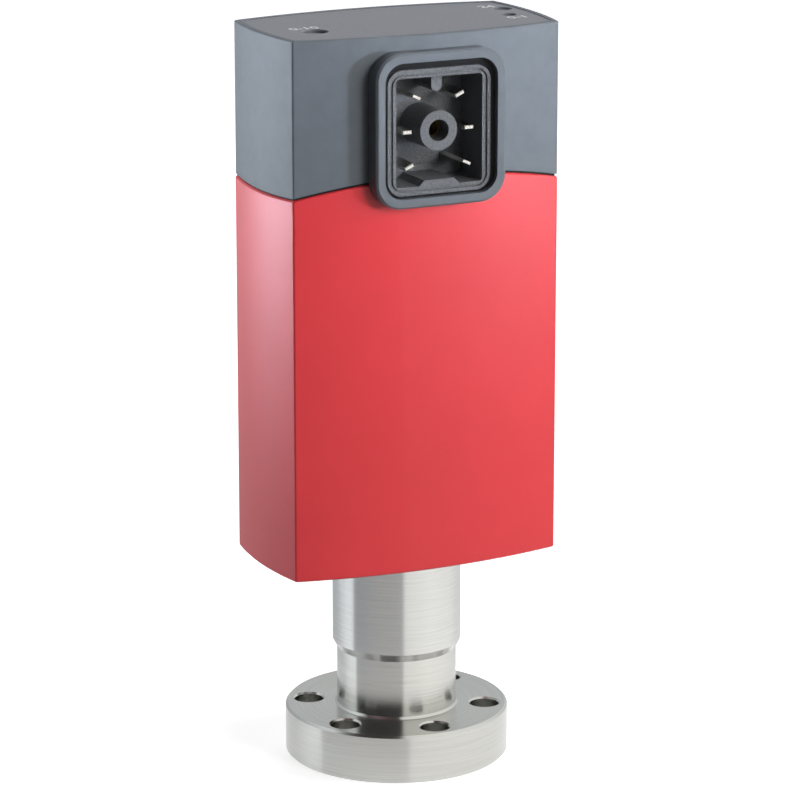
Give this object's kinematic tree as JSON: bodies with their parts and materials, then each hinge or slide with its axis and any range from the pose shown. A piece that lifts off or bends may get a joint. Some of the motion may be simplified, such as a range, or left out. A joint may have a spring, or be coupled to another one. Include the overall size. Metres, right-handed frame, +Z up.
{
  "type": "vacuum gauge",
  "caption": "Compact hot-wire vacuum gauge: knife-edge flange, short sensor tube, red bow-sided housing with an arched top edge, and a grey cap with a framed blade socket.",
  "frame": {"origin": "centre of the flange's sealing face, on the axis of the sensor tube", "axes": "+Z up the sensor tube to the cap; -Y is the front, where the socket faces; +X to the right seen from the front"},
  "size_m": [0.045, 0.034, 0.1127],
  "materials": {
    "flange_steel": "turned, polished top face",
    "tube_steel": "drawn tube, bright",
    "body_steel": "fine turned, satin",
    "red_anodised": "satin anodised",
    "grey_plastic": "fine grain",
    "foil": "grainy",
    "seal_rubber": "matt",
    "gasket_rubber": "matt",
    "black_plastic": "glass filled, moulded",
    "tinned_contact": "bright tinned",
    "brass_insert": "turned, threaded",
    "jack_plastic": "moulded",
    "clear_plastic": "clear moulded",
    "key_plastic": "moulded",
    "switch_plastic": "moulded",
    "led_plastic": "tinted",
    "board_laminate": "lacquered",
    "chip_plastic": "moulded",
    "ferrite": "sintered",
    "capacitor_sleeve": "shrunk sleeve",
    "plate_aluminium": "milled",
    "screw_steel": "bright",
    "nut_steel": "turned",
    "header_alloy": "plated",
    "seal_glass": "fused bead",
    "pin_alloy": "gold plated",
    "wire_tungsten": "drawn",
    "baffle_steel": "etched sheet",
    "plug_plastic": "moulded"
  },
  "bodies": {
    "gauge": {"flange": "flange_steel", "measuring_tube": "tube_steel", "sensor_body": "body_steel", "baffle": "baffle_steel", "header": "header_alloy", "header_glass": "seal_glass", "header_pin_1": "pin_alloy", "header_pin_2": "pin_alloy", "header_pin_3": "pin_alloy", "header_pin_4": "pin_alloy", "hot_wire": "wire_tungsten", "reference_wire": "wire_tungsten", "base_plate": "plate_aluminium", "base_screws": "screw_steel", "ring_nut": "nut_steel", "housing_shell": "red_anodised", "edge_seal": "seal_rubber", "top_cap": "grey_plastic", "top_foil": "foil", "connector_body": "black_plastic", "contact_carrier": "black_plastic", "lock_insert": "brass_insert", "connector_gasket": "gasket_rubber", "contact_1": "tinned_contact", "contact_2": "tinned_contact", "contact_3": "tinned_contact", "contact_4": "tinned_contact", "contact_5": "tinned_contact", "contact_6": "tinned_contact", "main_board": "board_laminate", "sensor_plug": "plug_plastic", "processor": "chip_plastic", "converter": "chip_plastic", "supply_choke": "ferrite", "supply_capacitor": "capacitor_sleeve", "test_jack": "jack_plastic", "status_led": "led_plastic", "light_guide": "clear_plastic", "key_switch": "switch_plastic"},
    "adjust_key": {"adjust_key": "key_plastic"}
  },
  "joints": [
    {"name": "adjust_press", "type": "slide", "parent": "gauge", "child": "adjust_key", "axis": [0, 0, -1], "range_m": [0, 0.0003], "stiffness_N_per_m": 400, "springref_m": -0.0005}
  ]
}
